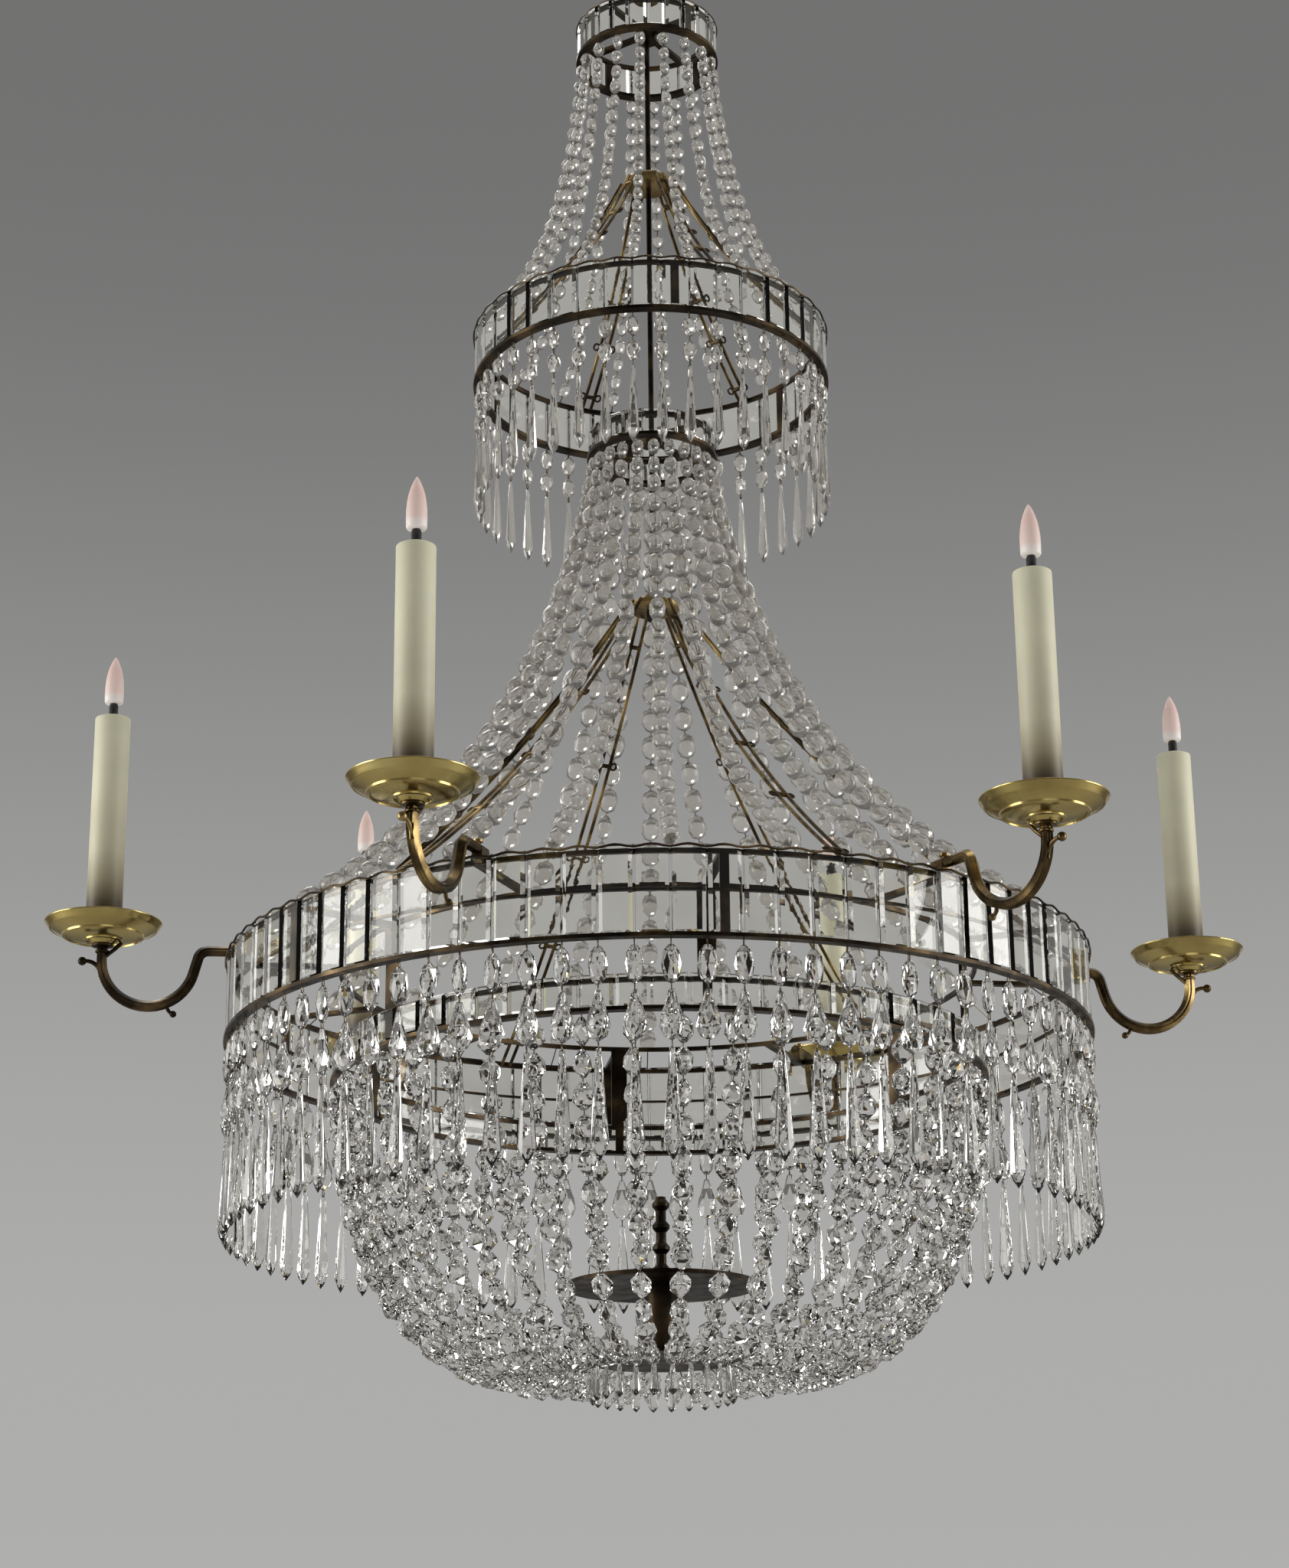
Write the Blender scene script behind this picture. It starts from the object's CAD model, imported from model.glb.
import math
import random

import bpy
from mathutils import Matrix, Vector


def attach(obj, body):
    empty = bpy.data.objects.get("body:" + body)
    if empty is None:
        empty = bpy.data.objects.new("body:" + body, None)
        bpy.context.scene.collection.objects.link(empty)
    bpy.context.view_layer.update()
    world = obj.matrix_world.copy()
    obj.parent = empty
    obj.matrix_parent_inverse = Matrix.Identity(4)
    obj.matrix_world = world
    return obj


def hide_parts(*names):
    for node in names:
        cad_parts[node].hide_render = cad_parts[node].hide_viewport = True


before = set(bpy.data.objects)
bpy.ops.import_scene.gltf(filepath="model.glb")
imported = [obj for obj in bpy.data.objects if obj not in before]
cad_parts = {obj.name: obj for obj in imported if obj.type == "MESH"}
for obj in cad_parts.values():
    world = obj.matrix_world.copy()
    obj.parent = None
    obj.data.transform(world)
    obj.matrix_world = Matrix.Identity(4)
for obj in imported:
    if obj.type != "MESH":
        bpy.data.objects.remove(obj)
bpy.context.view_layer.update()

# ---------------------------------------------------------------- camera
# The photograph is taken from 2.1 m in front of the stem, from a little below the lowest spears,
# and looks up at the lamp. The view leans a touch to the left, as a hand-held camera does.

CAMERA_PLACE = (0, -2.1, -1.42)
LOOKS_UP = 18.5
TURNED = 0.22
LEANS = -0.62

camera_data = bpy.data.cameras.new("camera")
camera_data.sensor_width = 36
camera_data.lens = 70.3
camera_data.clip_start = 0.05
camera = bpy.data.objects.new("camera", camera_data)
bpy.context.scene.collection.objects.link(camera)
camera.matrix_world = (
    Matrix.Translation(CAMERA_PLACE)
    @ Matrix.Rotation(math.radians(TURNED), 4, "Z")
    @ Matrix.Rotation(math.radians(90 + LOOKS_UP), 4, "X")
    @ Matrix.Rotation(math.radians(LEANS), 4, "Z")
)
bpy.context.scene.camera = camera
bpy.context.scene.view_settings.view_transform = "Standard"

# ---------------------------------------------------------------- room and light
# A pale floor far below the lamp and a plain grey wall, darker overhead. What the glass bends and
# mirrors is pale behind the lamp and dark in front, with a wide soft lamp on either side of it.

FLOOR_DROP = 1.95
FLOOR_REACH = 30
HORIZON = (0.46, 0.458, 0.453)
WARM_WHITE = (1.0, 0.985, 0.95)
# how high the eye looks, and how bright the wall is there
WALL = [(0.0, 0.46), (0.12, 0.42), (0.52, 0.17), (0.9, 0.07)]


def finish(name):
    """A blank finish and its shader."""
    material = bpy.data.materials.new(name)
    material.use_nodes = True
    tree = material.node_tree
    return material, tree, tree.nodes["Principled BSDF"]


def preset(node, values):
    """Sets the sockets of a node that are the same all over a surface."""
    for socket, value in values.items():
        node.inputs[socket].default_value = value
    return node


def steps(tree, value, stops, course="LINEAR"):
    """Turns a value into a colour, or a grey, through stops of (place, colour)."""
    ramp = tree.nodes.new("ShaderNodeValToRGB")
    ramp.color_ramp.interpolation = course
    while len(ramp.color_ramp.elements) < len(stops):
        ramp.color_ramp.elements.new(0.5)
    for element, (place, colour) in zip(ramp.color_ramp.elements, stops):
        element.position = place
        element.color = (*colour, 1) if hasattr(colour, "__len__") else (colour, colour, colour, 1)
    tree.links.new(value, ramp.inputs[0])
    return ramp.outputs[0]


def either(tree, choice, first, second):
    """Shows the second shader where the choice is 1, and otherwise the first."""
    shown = tree.nodes.new("ShaderNodeMixShader")
    tree.links.new(choice, shown.inputs[0])
    tree.links.new(first.outputs[0], shown.inputs[1])
    tree.links.new(second.outputs[0], shown.inputs[2])
    return shown


floor_mesh = bpy.data.meshes.new("floor")
floor_corners = [(-1, -1), (1, -1), (1, 1), (-1, 1)]
floor_mesh.from_pydata([(x * FLOOR_REACH, y * FLOOR_REACH, -FLOOR_DROP) for x, y in floor_corners],
                       [], [(0, 1, 2, 3)])
floor = bpy.data.objects.new("floor", floor_mesh)
bpy.context.scene.collection.objects.link(floor)
floor_finish, floor_tree, floor_shader = finish("pale_floor")
preset(floor_shader, {"Base Color": (0.62, 0.61, 0.6, 1), "Roughness": 0.85})
floor_plain = preset(floor_tree.nodes.new("ShaderNodeEmission"), {"Color": (*HORIZON, 1)})
floor_ray = floor_tree.nodes.new("ShaderNodeLightPath")
floor_seen = either(floor_tree, floor_ray.outputs["Is Camera Ray"], floor_shader, floor_plain)
floor_tree.links.new(floor_seen.outputs[0], floor_tree.nodes["Material Output"].inputs[0])
floor_mesh.materials.append(floor_finish)

world = bpy.data.worlds.new("room")
world.use_nodes = True
bpy.context.scene.world = world
room = world.node_tree
room.nodes.clear()
direction = room.nodes.new("ShaderNodeTexCoord")
bearing = room.nodes.new("ShaderNodeSeparateXYZ")
room.links.new(direction.outputs["Generated"], bearing.inputs[0])

wall_greys = [(height, (grey, grey * 0.995, grey * 0.985)) for height, grey in WALL]
wall = room.nodes.new("ShaderNodeBackground")
room.links.new(steps(room, bearing.outputs["Z"], wall_greys, "EASE"), wall.inputs["Color"])

fill = preset(room.nodes.new("ShaderNodeBackground"), {"Color": (*WARM_WHITE, 1), "Strength": 0.2})

in_glass = preset(room.nodes.new("ShaderNodeBackground"), {"Color": (*WARM_WHITE, 1)})
depth = preset(room.nodes.new("ShaderNodeMapRange"),
               {"From Min": -0.7, "From Max": 0.3, "To Min": 0.1, "To Max": 0.42})
room.links.new(bearing.outputs["Y"], depth.inputs["Value"])
room.links.new(depth.outputs["Result"], in_glass.inputs["Strength"])

ray = room.nodes.new("ShaderNodeLightPath")
by_glass = room.nodes.new("ShaderNodeMath")
by_glass.operation = "MAXIMUM"
room.links.new(ray.outputs["Is Glossy Ray"], by_glass.inputs[0])
room.links.new(ray.outputs["Is Transmission Ray"], by_glass.inputs[1])
plain = either(room, ray.outputs["Is Camera Ray"], fill, wall)
surroundings = either(room, by_glass.outputs[0], plain, in_glass)
room_out = room.nodes.new("ShaderNodeOutputWorld")
room.links.new(surroundings.outputs[0], room_out.inputs[0])

MIDDLE = Vector((0, 0, -0.75))
# name, place, width, height, watts, colour
LAMPS = [
    ("window", (-3.3, -0.6, -0.7), 2.2, 2.6, 72, (1.0, 0.99, 0.96)),
    ("side", (3.4, -0.4, -0.5), 1.9, 2.4, 62, (1.0, 0.99, 0.96)),
    ("overhead", (0.4, -0.6, 1.9), 1.4, 1.4, 12, (1.0, 0.98, 0.95)),
    ("behind", (-1.0, 2.4, 1.9), 1.1, 0.9, 8, (1.0, 0.99, 0.97)),
    ("low", (0.6, -2.7, -1.85), 1.6, 0.5, 3, (1.0, 1.0, 0.98)),
]
for name, place, wide, high, watts, colour in LAMPS:
    lamp_data = bpy.data.lights.new(name, "AREA")
    lamp_data.shape = "RECTANGLE"
    lamp_data.size, lamp_data.size_y = wide, high
    lamp_data.energy = watts
    lamp_data.color = colour
    lamp = bpy.data.objects.new(name, lamp_data)
    bpy.context.scene.collection.objects.link(lamp)
    lamp.location = place
    lamp.rotation_euler = (MIDDLE - lamp.location).to_track_quat("-Z", "Y").to_euler()
    lamp.visible_camera = False

# ---------------------------------------------------------------- suspension eye, swivel and screws
# A forged eye with a headed shank that turns in a turned socket, and the screws of the candle arms.
# Their shapes come from the frame; the finish is brass gone brown, rubbed bright in places.


def grain(tree, scale, detail):
    """A fine mottle fixed to the piece itself."""
    where = tree.nodes.new("ShaderNodeTexCoord")
    noise = preset(tree.nodes.new("ShaderNodeTexNoise"), {"Scale": scale, "Detail": detail})
    tree.links.new(where.outputs["Object"], noise.inputs["Vector"])
    return noise.outputs["Fac"]


def mottled(tree, socket, scale, detail, stops):
    """Gives a socket a mottle of colours, or of greys, through stops of (place, colour)."""
    tree.links.new(steps(tree, grain(tree, scale, detail), stops), socket)


def dents(tree, shader, scale, detail, height, strength):
    """A fine unevenness of the surface, its height in metres."""
    bump = preset(tree.nodes.new("ShaderNodeBump"), {"Strength": strength, "Distance": height})
    tree.links.new(grain(tree, scale, detail), bump.inputs["Height"])
    tree.links.new(bump.outputs[0], shader.inputs["Normal"])


def old_metal(name, dark, middle, bright, rough):
    """Metal with a brown skin, rubbed through to the bright colour in patches."""
    material, tree, shader = finish(name)
    preset(shader, {"Metallic": 1.0})
    mottled(tree, shader.inputs["Base Color"], 38, 6, [(0.32, dark), (0.5, middle), (0.7, bright)])
    mottled(tree, shader.inputs["Roughness"], 90, 5, [(0.3, rough[0]), (0.75, rough[1])])
    dents(tree, shader, 420, 3, 0.00012, 0.25)
    return material


brass = old_metal("aged_brass", (0.13, 0.085, 0.035), (0.33, 0.23, 0.095), (0.56, 0.41, 0.19),
                  (0.2, 0.42))
bronze = old_metal("dark_bronze", (0.018, 0.013, 0.009), (0.045, 0.032, 0.02), (0.19, 0.13, 0.065),
                   (0.26, 0.5))


def repaint(node, material):
    """Gives a node of the frame its finish."""
    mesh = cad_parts[node].data
    mesh.materials.clear()
    mesh.materials.append(material)
    for face in mesh.polygons:
        face.material_index = 0


for node in ("suspension_eye", "swivel_socket", "arm_screws"):
    repaint(node, brass)

# ---------------------------------------------------------------- stem
# A thin iron rod, blackened, that the crowns and hubs are threaded on down to the nut at its end.
# The frame's own shape.

iron = old_metal("blackened_iron", (0.008, 0.006, 0.005), (0.02, 0.015, 0.011),
                 (0.09, 0.062, 0.036), (0.3, 0.55))
repaint("stem", iron)

# ---------------------------------------------------------------- crowns and rings of bar
# Flat brass bar bent to hoops, soldered on short posts and browned almost black. The frame gives
# the bars; a crimped wire is laid round the upper edge of the outer rings' plates and tied to the
# hoop at every other joint.

for node in ("top_crown_frame", "mid_ring_frame", "inner_crown_frame", "main_ring_frame",
             "inner_hoop", "bowl_ring_frame"):
    repaint(node, bronze)

MM = 0.001
ARM_AZIMUTH = -172.0
TOP_CROWN, TOP_CROWN_PLATES = 51.0, 24
MID_RING, MID_RING_PLATES = 129.5, 40
MAIN_RING, MAIN_RING_PLATES = 299.0, 84
MAIN_RING_TOP = -859.0


def put(name, part, material, body, stands_for=(), smooth=False):
    """Makes a piece of a part drawn in millimetres and lets it ride on its body. Smooth is the
    angle up to which its edges are rounded over."""
    verts, faces = part
    mesh = bpy.data.meshes.new(name)
    mesh.from_pydata([v * MM for v in verts], [], faces)
    mesh.materials.append(material)
    mesh.update()
    piece = bpy.data.objects.new(name, mesh)
    bpy.context.scene.collection.objects.link(piece)
    if smooth:
        for face in mesh.polygons:
            face.use_smooth = True
        crisp = piece.modifiers.new("crisp_edges", "EDGE_SPLIT")
        crisp.split_angle = smooth
    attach(piece, body)
    if stands_for:
        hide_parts(*stands_for)


def moved(part, matrix):
    """A part, turned and shifted."""
    verts, faces = part
    return [matrix @ v for v in verts], faces


def joined(parts):
    """Several parts as one."""
    verts, faces = [], []
    for more, their_faces in parts:
        start = len(verts)
        verts.extend(more)
        faces.extend([tuple(i + start for i in face) for face in their_faces])
    return verts, faces


def at(azimuth, out=0.0, up=0.0):
    """Where a part drawn about the origin goes: turned round the stem, moved out and up."""
    return Matrix.Rotation(math.radians(azimuth), 4, "Z") @ Matrix.Translation((out, 0, up))


def wire_along(points, radius, sides=6, closed=False):
    """A round wire through points."""
    verts, faces = [], []
    count = len(points)
    for i, here in enumerate(points):
        before = points[i - 1] if i or closed else here
        after = points[(i + 1) % count] if i < count - 1 or closed else here
        turn = (after - before).to_track_quat("Z", "Y")
        for k in range(sides):
            a = 2 * math.pi * k / sides
            verts.append(here + turn @ Vector((radius * math.cos(a), radius * math.sin(a), 0)))
    for i in range(count if closed else count - 1):
        low, high = i * sides, ((i + 1) % count) * sides
        for k in range(sides):
            n = (k + 1) % sides
            faces.append((low + k, low + n, high + n, high + k))
    if not closed:
        faces.append(tuple(reversed(range(sides))))
        faces.append(tuple(range((count - 1) * sides, count * sides)))
    return verts, faces


def crimped_wire(radius, height, plates, thick, wave):
    """A wire round a ring that dips between the plates, with a tie over every other joint."""
    points = []
    per_plate = 6
    total = plates * per_plate
    for i in range(total):
        a = math.radians(ARM_AZIMUTH) + 2 * math.pi * i / total
        dip = wave * math.cos(2 * math.pi * i / per_plate)
        points.append(Vector((radius * math.cos(a), radius * math.sin(a), height + dip)))
    parts = [wire_along(points, thick, closed=True)]
    tie = [Vector((radius, 0, height - wave)), Vector((radius - 2, 0, height + 1.1)),
           Vector((radius - 5.2, 0, height + 0.4))]
    for k in range(0, plates, 2):
        parts.append(moved(wire_along(tie, 0.5, 5), at(ARM_AZIMUTH + 360 * (k + 0.5) / plates)))
    return joined(parts)


# ring, radius and height of its wire, number of plates, the wire's own radius, its dips
WIRES = [
    ("main_ring", 303.4, -858.2, MAIN_RING_PLATES, 0.8, 0.9),
    ("mid_ring", 133.9, -362.4, MID_RING_PLATES, 0.7, 0.7),
    ("top_crown", 55.3, -93.6, TOP_CROWN_PLATES, 0.5, 0.3),
]
for ring, radius, height, count, thick, wave in WIRES:
    put(ring + "_wire", crimped_wire(radius, height, count, thick, wave), bronze,
        "frame")

# ---------------------------------------------------------------- glass plates of the rings
# Clear glass strips, ground flat with a wide bevel along each long edge and a small one at the
# ends. They stand side by side on the lip of their ring, each a hair out of line with the next.


def clear_glass(name, light, dark, rough, clear=1.0):
    """Old lead glass: clear, a little smoky, softened by handling and dust."""
    material, tree, shader = finish(name)
    preset(shader, {"Transmission Weight": clear, "IOR": 1.54})
    mottled(tree, shader.inputs["Base Color"], 24, 2, [(0.35, dark), (0.65, light)])
    mottled(tree, shader.inputs["Roughness"], 260, 3, [(0.45, 0.0), (0.9, rough)])
    dents(tree, shader, 150, 2, 0.0002, 0.12)
    return material


plate_glass = clear_glass("plate_glass", (0.96, 0.965, 0.935), (0.87, 0.875, 0.84), 0.06)

PLATE_THICK = 2.9
END_BEVEL = 1.4
ARRIS = 0.4
LIP = 2.5
IN_HOOP = 2
# ring, radius, height of its top, height of the ring, number of plates, width of their bevels
PLATED = [
    ("top_crown", TOP_CROWN, -94.0, 28.0, TOP_CROWN_PLATES, 2.0),
    ("mid_ring", MID_RING, -363.0, 40.0, MID_RING_PLATES, 2.4),
    ("inner_crown", 44.0, -442.0, 20.0, 22, 1.8),
    ("main_ring", MAIN_RING, MAIN_RING_TOP, 57.0, MAIN_RING_PLATES, 2.6),
    ("bowl_ring", 225.0, -921.0, 22.0, 60, 2.4),
]


def bevelled_plate(wide, high, bevel):
    """A strip of glass with its outer face inwards of its edges, standing on z = 0, facing +X."""
    half = wide / 2
    outlines = [(0.0, half - ARRIS, ARRIS, high - ARRIS), (ARRIS, half, 0, high),
                (PLATE_THICK * 0.45, half, 0, high),
                (PLATE_THICK, half - bevel, END_BEVEL, high - END_BEVEL)]
    verts, faces = [], []
    for x, y, low, top in outlines:
        verts += [Vector((x, *corner)) for corner in ((-y, low), (y, low), (y, top), (-y, top))]
    for i in range(len(outlines) - 1):
        for k in range(4):
            n = (k + 1) % 4
            faces.append((i * 4 + k, i * 4 + n, i * 4 + 4 + n, i * 4 + 4 + k))
    faces.append((3, 2, 1, 0))
    last = 4 * (len(outlines) - 1)
    faces.append((last, last + 1, last + 2, last + 3))
    return verts, faces


chance = random.Random(7)
for ring, radius, top, height, count, bevel in PLATED:
    seat = radius + 0.3
    pitch = 2 * seat * math.tan(math.pi / count)
    strip = bevelled_plate(pitch * 0.94, height - LIP + IN_HOOP, bevel)
    strips = []
    for k in range(count):
        lean = Matrix.Rotation(math.radians(chance.uniform(-0.5, 0.5)), 4, "X")
        place = at(ARM_AZIMUTH + 360 * k / count, seat, top - height + LIP + 0.2)
        strips.append(moved(strip, place @ lean))
    put(ring + "_glass", joined(strips), plate_glass, "frame", (ring + "_plates",))

# ---------------------------------------------------------------- strings of beads
# Oval glass beads, linked end to end by wire pins: sharply cut in the bowl, worn round and gone
# smoky above it. The strings hang from ring to ring, with larger beads where there is room.

BEAD_GAP = 2.5
BEAD_LONG = 1.25
BEAD_SHARE = 0.44
NOD = 0.06
PIN = 0.45
PIN_DEPTH = 0.98

crystal = clear_glass("crystal", (0.985, 0.983, 0.97), (0.87, 0.865, 0.85), 0.05)
smoky = clear_glass("smoky_crystal", (0.9, 0.885, 0.855), (0.76, 0.74, 0.705), 0.2, 0.9)
pin_metal, pin_tree, pin_shader = finish("pin_wire")
preset(pin_shader, {"Metallic": 1.0, "Roughness": 0.38})
mottled(pin_tree, pin_shader.inputs["Base Color"], 60, 4,
        [(0.3, (0.07, 0.055, 0.035)), (0.7, (0.3, 0.26, 0.19))])


def cut_stone(girdles, sides, flat=1.0):
    """A stone ground about the upright axis through (radius, height) pairs: rings of corners, each
    turned half a facet from the last."""
    verts, faces = [], []
    for i, (radius, height) in enumerate(girdles):
        for k in range(sides):
            a = 2 * math.pi * (k + 0.5 * (i % 2)) / sides
            verts.append(Vector((radius * math.cos(a), flat * radius * math.sin(a), height)))
    for i in range(len(girdles) - 1):
        low, high = i * sides, (i + 1) * sides
        for k in range(sides):
            n = (k + 1) % sides
            if i % 2:
                faces += [(low + k, low + n, high + n), (low + k, high + n, high + k)]
            else:
                faces += [(low + k, low + n, high + k), (high + k, low + n, high + n)]
    faces.append(tuple(reversed(range(sides))))
    faces.append(tuple(range((len(girdles) - 1) * sides, len(girdles) * sides)))
    return verts, faces


def bend(poles, share):
    """A point of the smooth curve drawn by its poles."""
    points = [Vector(p) for p in poles]
    while len(points) > 1:
        points = [a.lerp(b, share) for a, b in zip(points, points[1:])]
    return points[0]


class HangingLine:
    """The line of a string, in a plane through the stem, measured along its length."""

    PARTS = 400

    def __init__(self, poles):
        self.points = [bend(poles, i / self.PARTS) for i in range(self.PARTS + 1)]
        self.lengths = [0.0]
        for a, b in zip(self.points, self.points[1:]):
            self.lengths.append(self.lengths[-1] + (b - a).length)
        self.length = self.lengths[-1]

    def at(self, distance):
        i = 0
        while i < self.PARTS - 1 and self.lengths[i + 1] < distance:
            i += 1
        span = self.lengths[i + 1] - self.lengths[i]
        share = min(max((distance - self.lengths[i]) / span, 0), 1)
        return self.points[i].lerp(self.points[i + 1], share)


def line_up(heading, spin):
    """Turns a stone from upright to its heading, spun about itself."""
    return heading.to_track_quat("Z", "Y").to_matrix().to_4x4() @ Matrix.Rotation(spin, 4, "Z")


def cut_bead(radius, half):
    """A flattened oval with a girdle of six broad lozenges."""
    return cut_stone([(radius * 0.3, -half), (radius * 1.08, -half * 0.36),
                      (radius * 1.1, half * 0.34), (radius * 0.3, half)], 6, 0.76)


def worn_bead(radius, half):
    """An oval with its facets worn round."""
    return cut_stone([(radius * 0.28, -half), (radius * 0.8, -half * 0.74),
                      (radius * 1.04, -half * 0.22), (radius * 1.02, half * 0.3),
                      (radius * 0.74, half * 0.78), (radius * 0.28, half)], 8, 0.84)


def bead_string(line, count, largest, bead, draw):
    """One of a tier's strings: its stones and its pins. No two strings are cut quite alike."""
    stones = []
    walked = BEAD_GAP
    ends = [line.at(0)]
    size_of_string = draw.uniform(0.93, 1.0)
    while True:
        room_for_one = 2 * math.pi * line.at(walked).x / count
        radius = min(largest, BEAD_SHARE * room_for_one)
        half = radius * BEAD_LONG
        if walked + 2 * half + BEAD_GAP > line.length:
            break
        centre = line.at(walked + half)
        heading = (line.at(walked + half + 1) - line.at(walked + half - 1)).normalized()
        nod = Vector((draw.uniform(-1, 1), draw.uniform(-1, 1), draw.uniform(-1, 1))) * NOD
        size = size_of_string * draw.uniform(0.95, 1.0)
        hang = Matrix.Translation(centre) @ line_up(heading + nod, draw.uniform(0, 3))
        stones.append(moved(bead(radius * size, half), hang))
        ends += [centre - heading * half * PIN_DEPTH, centre + heading * half * PIN_DEPTH]
        walked += 2 * half + BEAD_GAP
    ends.append(line.at(line.length))
    return stones, [wire_along([start, end], PIN, 5) for start, end in zip(ends[0::2], ends[1::2])]


def drape(name, poles, count, largest, first, glass, bead, seed, smooth=False):
    """All the strings of one tier."""
    line = HangingLine(poles)
    draw = random.Random(seed)
    stones, pins = [], []
    for k in range(count):
        where = at(first + 360 * k / count)
        beads, links = bead_string(line, count, largest, bead, draw)
        stones += [moved(s, where) for s in beads]
        pins += [moved(p, where) for p in links]
    put(name + "_glass", joined(stones), glass, "frame", (name,), smooth=smooth)
    put(name + "_pins", joined(pins), pin_metal, "frame")


SPIDER_AZIMUTH = ARM_AZIMUTH + 46.3
UPPER_STRINGS, UPPER_BEAD = 18, 4.6
TENT_STRINGS, TENT_BEAD = 24, 7.5
BOWL_STRINGS, BOWL_BEAD = 44, 7.2
WORN = math.radians(70)
drape("upper_strands", [(51, 0, -122.3), (64.9, 0, -299.8), (128, 0, -362.1)],
      UPPER_STRINGS, UPPER_BEAD, SPIDER_AZIMUTH + 180 / UPPER_STRINGS, smoky, worn_bead, 11, WORN)
drape("tent_strands", [(44, 0, -462.3), (79.5, 0, -719.6), (297.5, 0, -858.1)],
      TENT_STRINGS, TENT_BEAD, SPIDER_AZIMUTH + 180 / TENT_STRINGS, smoky, worn_bead, 12, WORN)
drape("bowl_strands",
      [(225, 0, -943.3), (221.6, 0, -1087.4), (149.7, 0, -1171.7), (53.9, 0, -1130.5)],
      BOWL_STRINGS, BOWL_BEAD, ARM_AZIMUTH + 180 / BOWL_STRINGS, crystal, cut_bead, 13)

# ---------------------------------------------------------------- hubs and bent arms
# Two turned brass bells on the stem, each with six arms bent from a pair of rods, which hold the
# ring below. Small wire eyelets lie on both sides of the rods at each tie between them.

for node in ("upper_hub", "lower_hub"):
    repaint(node, brass)
browned = old_metal("browned_brass", (0.025, 0.017, 0.009), (0.11, 0.075, 0.034),
                    (0.46, 0.33, 0.14), (0.2, 0.42))
for node in ("upper_spider", "lower_spider"):
    repaint(node, browned)

TIES = (0.3, 0.5, 0.7, 0.94)
ROD_SPREAD = 6.6
EYELET_WIDE, EYELET_LONG, EYELET_WIRE = 2.2, 2.6, 0.8


def sagging(start, end, sag, share):
    """A point of the shallow arc that sags below the line from start to end."""
    line = end - start
    below = Vector((line.z, 0, -line.x)).normalized()
    radius = line.length ** 2 / (8 * sag) + sag / 2
    turn = math.asin(line.length / 2 / radius) * (2 * share - 1)
    centre = (start + end) / 2 + below * (sag - radius)
    return centre + (below * math.cos(turn) + line.normalized() * math.sin(turn)) * radius


def eyelets(name, start, end, sag):
    """The loops of six arms, a pair at every tie."""
    turns = [2 * math.pi * k / 12 for k in range(12)]
    loops = []
    for share in TIES:
        foot = sagging(start, end, sag, share)
        along = (sagging(start, end, sag, share + 0.01) - foot).normalized()
        for side in (-ROD_SPREAD, ROD_SPREAD):
            middle = foot + Vector((0, side, 0))
            loop = [middle + Vector((0, EYELET_WIDE * math.cos(a), 0))
                    + along * EYELET_LONG * math.sin(a) for a in turns]
            loops.append(wire_along(loop, EYELET_WIRE, closed=True))
    one_arm = joined(loops)
    put(name, joined([moved(one_arm, at(SPIDER_AZIMUTH + 60 * k)) for k in range(6)]), bronze,
        "frame")


eyelets("upper_eyelets", Vector((20.6, 0, -228.4)), Vector((124.9, 0, -364.5)), 8)
eyelets("lower_eyelets", Vector((20.6, 0, -580.4)), Vector((294.4, 0, -860.5)), 18)

# ---------------------------------------------------------------- fringe of the main ring
# Under each joint of the plates hangs a long octagon stone, a pear drop and a slender spear, one
# below the other on wire hooks. The stones are flat, and each string turns a little its own way.

MAIN_FRINGE_TOP = -916.6
STONE_GAP = 4
HANGS_OFF = 0.6
TURNS_OFF = 25
HOOK_WIDE, HOOK_WIRE = 0.9, 0.4


def octagon(wide, long, thick):
    """An eight-sided stone, widest at its middle."""
    r = wide / 2
    h = long / 2
    return cut_stone([(r * 0.3, -h), (r * 0.82, -h * 0.66), (r, 0), (r * 0.82, h * 0.66),
                      (r * 0.3, h)], 8, thick / wide)


def pear(wide, long, thick):
    """A drop, widest low down, its tip ground to a point and its top drawn out."""
    r = wide / 2
    return cut_stone([(0.25, 0), (r * 0.7, long * 0.1), (r, long * 0.3), (r * 0.86, long * 0.5),
                      (r * 0.5, long * 0.76), (r * 0.24, long)], 8, thick / wide)


def spear(wide, long, thick):
    """A long prism that widens downwards and ends in a steep point."""
    r = wide / 2
    return cut_stone([(0.25, 0), (r * 0.62, long * 0.07), (r, long * 0.16), (r * 0.36, long * 0.94),
                      (r * 0.3, long)], 6, thick / wide)


def hook(low, high):
    """A wire link between two stones, closed to an upright oval."""
    centre = (low + high) / 2
    reach = (high - low) / 2
    loop = []
    for k in range(9):
        a = 2 * math.pi * k / 8
        loop.append(Vector((HOOK_WIDE * math.cos(a), 0, centre + reach * math.sin(a))))
    return wire_along(loop, HOOK_WIRE, 5)


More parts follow.
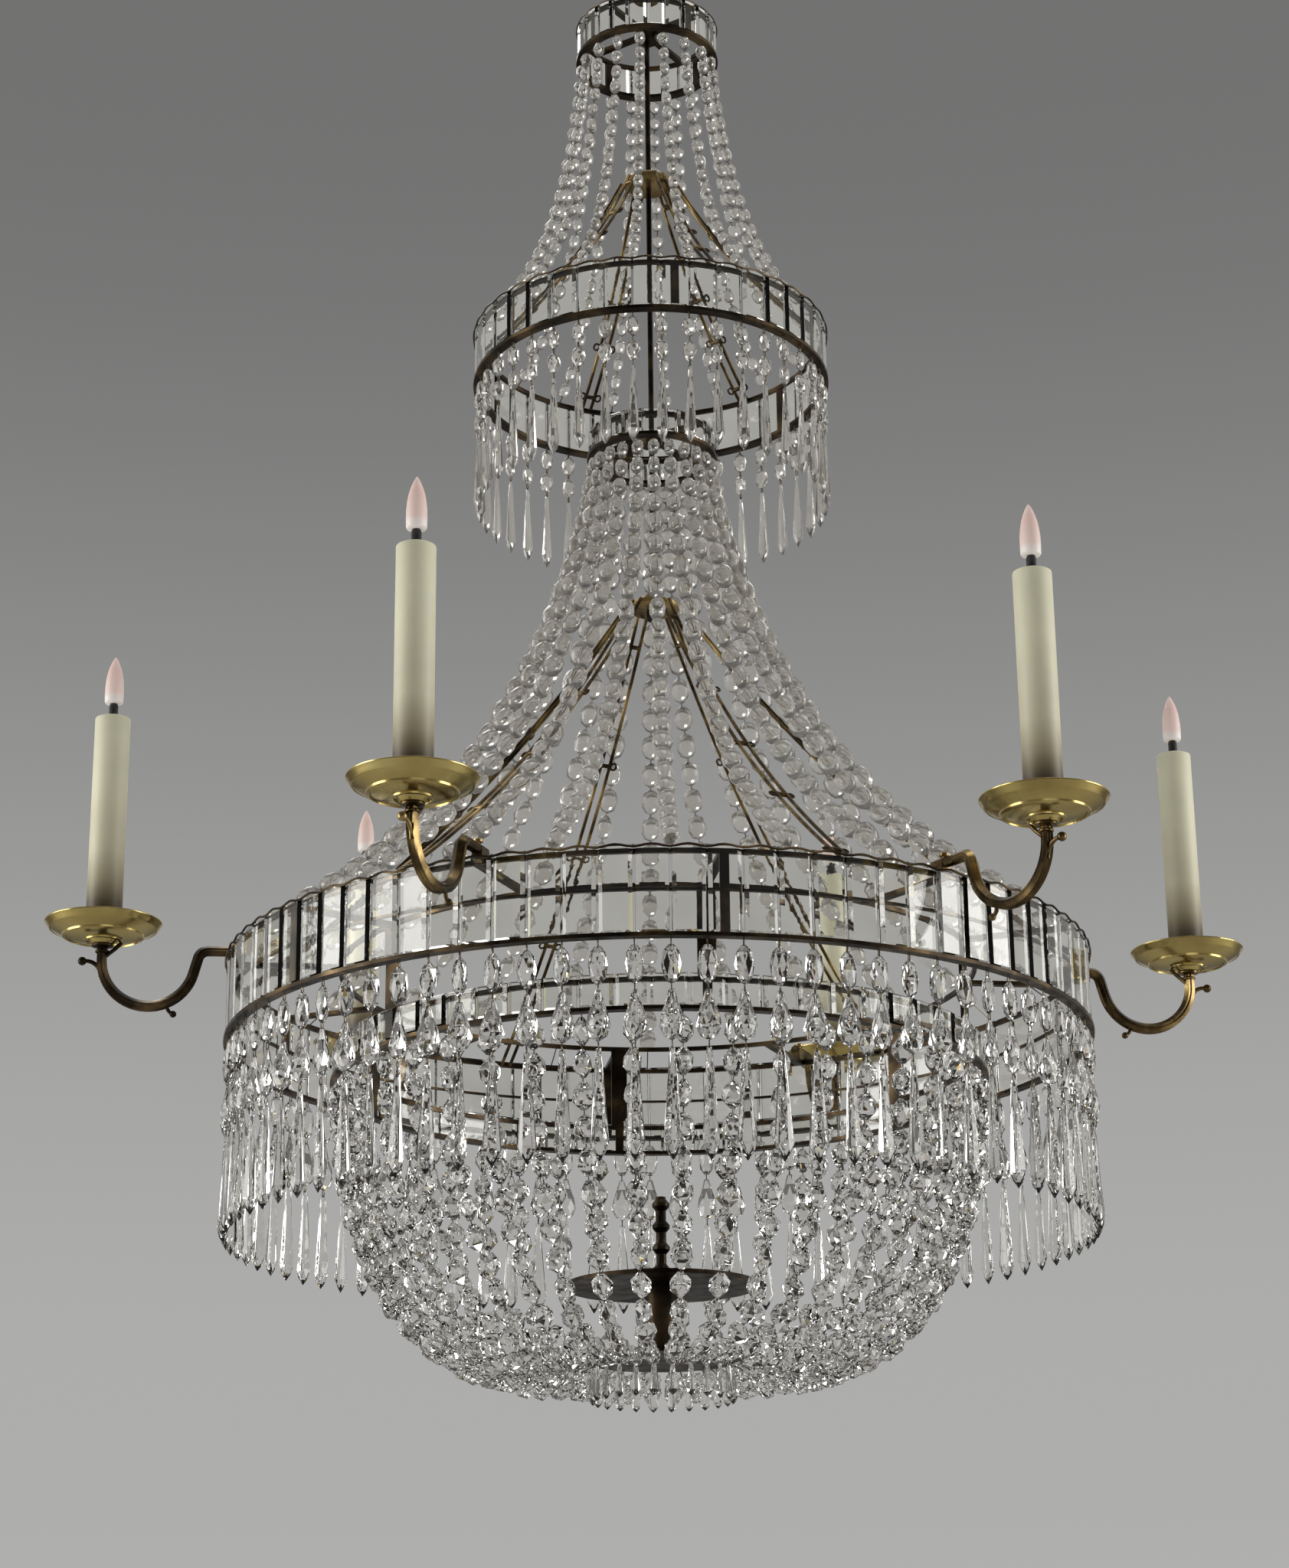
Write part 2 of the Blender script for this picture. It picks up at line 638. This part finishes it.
def hung(name, radius, top, strings, stones, draw, cut_glass):
    """A sector of a fringe: strings at their azimuths, each of (shape, wide, long, thick) from the
    top down."""
    glass, metal = [], []
    for azimuth in strings:
        where = at(azimuth, radius)
        height = top
        for shape, wide, long, thick in stones:
            metal.append(moved(hook(height - 4.6, height + 0.4), where))
            height -= STONE_GAP + long
            tilt = Matrix.Rotation(math.radians(draw.uniform(-HANGS_OFF, HANGS_OFF)), 4, "X")
            turn = Matrix.Rotation(math.radians(90 + draw.uniform(-TURNS_OFF, TURNS_OFF)), 4, "Z")
            stone = shape(wide * draw.uniform(0.94, 1.0), long, thick)
            hang = Matrix.Translation((0, 0, height + long)) @ tilt
            hang = where @ (hang @ Matrix.Translation((0, 0, -long)) @ turn)
            if shape is octagon:
                hang = hang @ Matrix.Translation((0, 0, long / 2))
            glass.append(moved(stone, hang))
    put(name + "_glass", joined(glass), cut_glass, name, (name,))
    put(name + "_hooks", joined(metal), pin_metal, name)


def fringe(ring, radius, top, count, sectors, stones, draw, cut_glass):
    """A whole fringe, with a string under each joint of the plates, in sectors that swing."""
    each = count // sectors
    for sector in range(sectors):
        first = ARM_AZIMUTH + (sector * each + 0.5) * 360 / count
        strings = [first + k * 360 / count for k in range(each)]
        hung(f"{ring}_fringe_{sector + 1}", radius, top, strings, stones, draw, cut_glass)


draw = random.Random(21)
fringe("main", MAIN_RING, MAIN_FRINGE_TOP, MAIN_RING_PLATES, 12,
       [(octagon, 13, 24, 8.5), (pear, 17, 32, 10), (spear, 12.6, 69, 9.5)], draw, crystal)

# ---------------------------------------------------------------- fringe of the middle ring
# The same hooks carry two small octagons and a thin spear under every joint of the plates.
# The glass is the smoky one of the upper strings.

MID_FRINGE_TOP = -403.6
fringe("mid", MID_RING, MID_FRINGE_TOP, MID_RING_PLATES, 5,
       [(octagon, 11, 15, 7.5), (octagon, 11, 15, 7.5), (spear, 9.4, 60, 7.5)], draw, smoky)

# ---------------------------------------------------------------- foot
# A turned iron spool, blackened, with a knobbed spindle that stands up in the bowl. The bowl's
# strings carry it by its flange, and twenty-four small spears hang round the flange's edge.

FOOT_SPEARS = 24
FOOT_SPEAR_RING = 48
FOOT_SPEAR_TIP = -1160.2
FOOT_HOOK = (-1136.6, -1132.0)

repaint("bottom_plate", iron)
foot_stones, foot_hooks = [], []
for k in range(FOOT_SPEARS):
    where = at(ARM_AZIMUTH + 360 * k / FOOT_SPEARS, FOOT_SPEAR_RING)
    turn = Matrix.Rotation(math.radians(90 + draw.uniform(-30, 30)), 4, "Z")
    drop = Matrix.Translation((0, 0, FOOT_SPEAR_TIP))
    foot_stones.append(moved(spear(7.2, 24, 6), where @ drop @ turn))
    foot_hooks.append(moved(hook(*FOOT_HOOK), where))
put("bottom_spears_glass", joined(foot_stones), crystal, "frame", ("bottom_spears",))
put("bottom_spears_hooks", joined(foot_hooks), pin_metal, "frame")

# ---------------------------------------------------------------- candle arms
# Cast brass arms of ridged bar, screwed to the ring's hoop: a flat tail, a crest, a steep drop, a
# deep round bend and a standing part under the pan, with a scroll outside, a curl below and a thin
# brace. One of the six has gone darker than the others.

REACH = 388.5
TAIL = 11.0
BEND = 32.0
CREST = 7.0
LEAN = math.radians(75)
POST = 11.0
RISE = 12.0
HALF_WIDE, HALF_DEEP = 4.0, 3.7


def spot(x, z):
    """A point in the arm's plane."""
    return Vector((x, 0, z))


def sweep(centre, radius, start, end, count=14):
    """Points of an arc in the arm's own plane, in radians from outwards towards up."""
    turns = [start + (end - start) * i / count for i in range(count + 1)]
    return [centre + spot(radius * math.cos(a), radius * math.sin(a)) for a in turns]


def skinned(verts, rings, sides):
    """The faces of a closed tube over rings of points."""
    faces = []
    for i in range(rings - 1):
        for k in range(sides):
            n = (k + 1) % sides
            faces.append((i * sides + k, i * sides + n, (i + 1) * sides + n, (i + 1) * sides + k))
    faces.append(tuple(reversed(range(sides))))
    faces.append(tuple(range((rings - 1) * sides, rings * sides)))
    return verts, faces


def bar_along(points, section, scale=lambda share: 1.0):
    """A bar of one section along points in the arm's plane; scale gives its size along the way."""
    verts = []
    for i, here in enumerate(points):
        before, after = points[max(i - 1, 0)], points[min(i + 1, len(points) - 1)]
        heading = (after - before).normalized()
        normal = Vector((-heading.z, 0, heading.x))
        grow = scale(i / (len(points) - 1))
        for y, n in section:
            verts.append(here + Vector((0, y * grow, 0)) + normal * n * grow)
    return skinned(verts, len(points), len(section))


def turned(profile, sides=40):
    """A turned form through (radius, height) pairs from its foot up, closed at both ends."""
    verts = []
    for radius, height in profile:
        for k in range(sides):
            a = 2 * math.pi * k / sides
            verts.append(Vector((radius * math.cos(a), radius * math.sin(a), height)))
    return skinned(verts, len(profile), sides)


def ball(centre, radius):
    """A knob."""
    profile = [(max(radius * math.cos(a), 0.05), radius * math.sin(a))
               for a in [math.pi * (i / 12 - 0.5) for i in range(13)]]
    return moved(turned(profile, 20), Matrix.Translation(centre))


def scroll(points, thick, knob):
    """A thin curl that narrows towards the knob at its end."""
    section = [(thick * math.cos(a), thick * math.sin(a))
               for a in [2 * math.pi * k / 10 for k in range(10)]]
    return [bar_along(points, section, lambda share: 1.15 - 0.35 * share), ball(points[-1], knob)]


def candle_arm():
    """The whole casting, drawn outwards along +X."""
    centre = spot(REACH - BEND, MAIN_RING_TOP)
    fall = spot(math.cos(LEAN), -math.sin(LEAN))
    side = spot(-math.sin(LEAN), -math.cos(LEAN))
    bend_start = centre + side * BEND
    crest_end = bend_start - fall * RISE
    crest_centre = crest_end + side * CREST
    crest_start = crest_centre + spot(0, CREST)
    tail = spot(MAIN_RING - TAIL, crest_start.z)
    post = centre + spot(BEND, 0)
    top = post + spot(0, POST)
    path = [tail.lerp(crest_start, i / 4) for i in range(4)]
    path += sweep(crest_centre, CREST, math.pi / 2, math.pi / 2 - LEAN, 8)
    path += [crest_end.lerp(bend_start, i / 3) for i in (1, 2)]
    path += sweep(centre, BEND, 1.5 * math.pi - LEAN, 2 * math.pi, 26)
    path += [post.lerp(top, i / 3) for i in (1, 2, 3)]
    w, d = HALF_WIDE, HALF_DEEP
    ridged = [(-w, -0.3 * d), (-0.72 * w, -d), (-0.3 * w, -0.8 * d), (0, -d), (0.3 * w, -0.8 * d),
              (0.72 * w, -d), (w, -0.3 * d), (0.86 * w, 0), (w, 0.3 * d), (0.45 * w, 0.7 * d),
              (0, d), (-0.45 * w, 0.7 * d), (-w, 0.3 * d), (-0.86 * w, 0)]
    parts = [bar_along(path, ridged, lambda share: 0.86 + 0.14 * math.sin(math.pi * share) ** 0.5)]
    low = (tail.z - MAIN_RING_TOP) / 2
    block = [(-w * 0.9, -low), (w * 0.9, -low), (w * 0.9, low), (-w * 0.9, low)]
    block_start = spot(tail.x, MAIN_RING_TOP + low)
    parts.append(bar_along([block_start, block_start + spot(TAIL, 0)], block))
    outer_scroll = sweep(post + spot(11, -12), 11, math.radians(180), math.radians(78), 12)
    parts += scroll(outer_scroll, 1.6, 3.0)
    under = math.radians(-129)
    curl_top = centre + spot(math.cos(under), math.sin(under)) * BEND
    curl = sweep(curl_top + spot(0, -6.5), 6.5, math.radians(90), math.radians(-72), 12)
    parts += scroll(curl, 1.5, 2.4)
    brace = [post + spot(-0.7, 1), post + spot(-9, 8.2), top + spot(-13, 1.5)]
    parts.append(wire_along(brace, 1.4, 10))
    collar = [(3.2, -6.5), (4.6, -6.0), (4.9, -5.2), (4.6, -4.4), (3.6, -4.0), (3.4, -3.0),
              (5.0, -2.2), (7.3, -1.6), (7.5, -0.8), (7.2, 0.0)]
    parts.append(moved(turned(collar, 32), Matrix.Translation(top)))
    return joined(parts)


arm = candle_arm()
ARM_AZIMUTHS = [ARM_AZIMUTH + 60 * k for k in range(6)]
for number, azimuth in enumerate(ARM_AZIMUTHS, start=1):
    put(f"candle_arm_{number}_cast", moved(arm, at(azimuth)), bronze if number == 1 else browned,
        "frame", (f"candle_arm_{number}",), smooth=math.radians(38))

# ---------------------------------------------------------------- drip pans
# Spun brass saucers, polished on the lathe, with turned rings beneath and a rolled rim. A short
# pricket stands up in the middle to hold the candle tube.

PAN_SEAT = -848.0
UNDERSIDE = [(0.1, 0), (7.5, 0), (8.4, 0.7), (9.2, 1.9), (9.9, 2.7), (11.0, 2.9), (11.4, 1.9),
             (13.0, 2.1), (13.4, 3.1), (17.0, 3.6), (24.0, 5.0), (25.6, 5.6), (26.0, 4.6),
             (28.0, 5.3), (28.4, 6.6), (33.0, 9.0), (36.4, 11.0), (37.2, 10.8), (38.6, 12.4),
             (39.6, 14.3), (40.4, 15.1), (40.5, 15.6), (40.1, 16.0)]
INSIDE = [(39.4, 15.9), (38.8, 15.2), (36.0, 12.5), (31.0, 9.7), (24.0, 6.4), (18.0, 5.0),
          (14.0, 3.9), (3.0, 3.9), (2.9, 15.2), (2.2, 15.9), (0.1, 15.9)]

polished, polish_tree, polish_shader = finish("polished_brass")
preset(polish_shader, {"Metallic": 1.0})
mottled(polish_tree, polish_shader.inputs["Base Color"], 26, 5,
        [(0.3, (0.4, 0.3, 0.11)), (0.55, (0.57, 0.45, 0.165)), (0.75, (0.7, 0.58, 0.25))])
mottled(polish_tree, polish_shader.inputs["Roughness"], 70, 4, [(0.3, 0.16), (0.75, 0.28)])
dents(polish_tree, polish_shader, 500, 2, 0.00005, 0.12)

pan = turned(UNDERSIDE + INSIDE, 72)
pans = joined([moved(pan, at(azimuth, REACH, PAN_SEAT)) for azimuth in ARM_AZIMUTHS])
put("drip_pans_spun", pans, polished, "frame", ("drip_pans",), smooth=math.radians(32))

# ---------------------------------------------------------------- candles
# Cream candle tubes of waxed card, slightly rounded at the top and darkened at the foot, with a
# small black collar and a flame bulb of frosted glass on top.

CANDLE_BASE = PAN_SEAT + 3.9
CANDLE = 162.0
NECK = 11.4
# how high up the tube, and its colour there
WAX_COLOURS = [(0.08, (0.03, 0.022, 0.014)), (0.15, (0.13, 0.1, 0.062)),
               (0.24, (0.42, 0.375, 0.25)), (0.38, (0.76, 0.72, 0.53)), (0.7, (0.87, 0.85, 0.64))]
# how high up the bulb, and its colour there
FLAME_COLOURS = [(0.0, (0.95, 0.95, 0.93)), (0.09, (0.95, 0.94, 0.92)), (0.2, (0.88, 0.73, 0.67)),
                 (0.7, (0.82, 0.61, 0.55)), (1.0, (0.88, 0.7, 0.66))]


def by_height(tree, stops):
    """Colours that change from the foot of a piece to its top."""
    where = tree.nodes.new("ShaderNodeTexCoord")
    split = tree.nodes.new("ShaderNodeSeparateXYZ")
    tree.links.new(where.outputs["Generated"], split.inputs[0])
    return steps(tree, split.outputs["Z"], stops)


wax, wax_tree, wax_shader = finish("cream_wax")
preset(wax_shader, {"Roughness": 0.48, "Subsurface Weight": 0.12,
                    "Subsurface Radius": (0.004, 0.0025, 0.0015)})
mottle = wax_tree.nodes.new("ShaderNodeMix")
mottle.data_type = "RGBA"
mottle.blend_type = "MULTIPLY"
preset(mottle, {"Factor": 1.0})
wax_tree.links.new(by_height(wax_tree, WAX_COLOURS), mottle.inputs["A"])
mottled(wax_tree, mottle.inputs["B"], 45, 5, [(0.3, 0.93), (0.7, 1.0)])
wax_tree.links.new(mottle.outputs["Result"], wax_shader.inputs["Base Color"])
dents(wax_tree, wax_shader, 190, 3, 0.0002, 0.15)

black, black_tree, black_shader = finish("black_collar")
preset(black_shader, {"Roughness": 0.45})
mottled(black_tree, black_shader.inputs["Base Color"], 300, 4, [(0.3, 0.008), (0.7, 0.03)])

flame_glass, flame_tree, flame_shader = finish("flame_glass")
preset(flame_shader, {"Transmission Weight": 0.15, "IOR": 1.4, "Subsurface Weight": 0.3,
                      "Subsurface Radius": (0.003, 0.002, 0.0015),
                      "Emission Color": (1.0, 0.85, 0.8, 1), "Emission Strength": 0.12})
flame_tree.links.new(by_height(flame_tree, FLAME_COLOURS), flame_shader.inputs["Base Color"])
mottled(flame_tree, flame_shader.inputs["Roughness"], 220, 3, [(0.3, 0.32), (0.7, 0.45)])

tube = turned([(3.4, 0), (12.3, 0), (12.5, 0.4), (12.5, CANDLE - 1), (12.3, CANDLE - 0.3),
               (11.7, CANDLE), (0.1, CANDLE - 0.4)], 48)
neck = turned([(3.2, 0), (3.2, 10.0), (2.6, 11.0), (2.6, NECK)], 24)
bulb = turned([(2.6, NECK), (5.9, 11.7), (6.5, 12.8), (6.7, 18.0), (6.6, 24.0), (6.1, 29.5),
               (5.3, 34.5), (4.0, 39.0), (2.6, 42.6), (1.4, 45.1), (0.6, 46.4), (0.1, 47.0)], 32)
for number, azimuth in enumerate(ARM_AZIMUTHS, start=1):
    foot = at(azimuth, REACH, CANDLE_BASE)
    tip = foot @ Matrix.Translation((0, 0, CANDLE))
    body = f"candle_{number}"
    put(f"candle_sleeve_{number}_tube", moved(tube, foot), wax, body,
        (f"candle_sleeve_{number}",), smooth=math.radians(50))
    put(f"flame_bulb_{number}_neck", moved(neck, tip), black, body,
        smooth=math.radians(50))
    put(f"flame_bulb_{number}_glass", moved(bulb, tip), flame_glass, body,
        (f"flame_bulb_{number}",), smooth=math.radians(70))
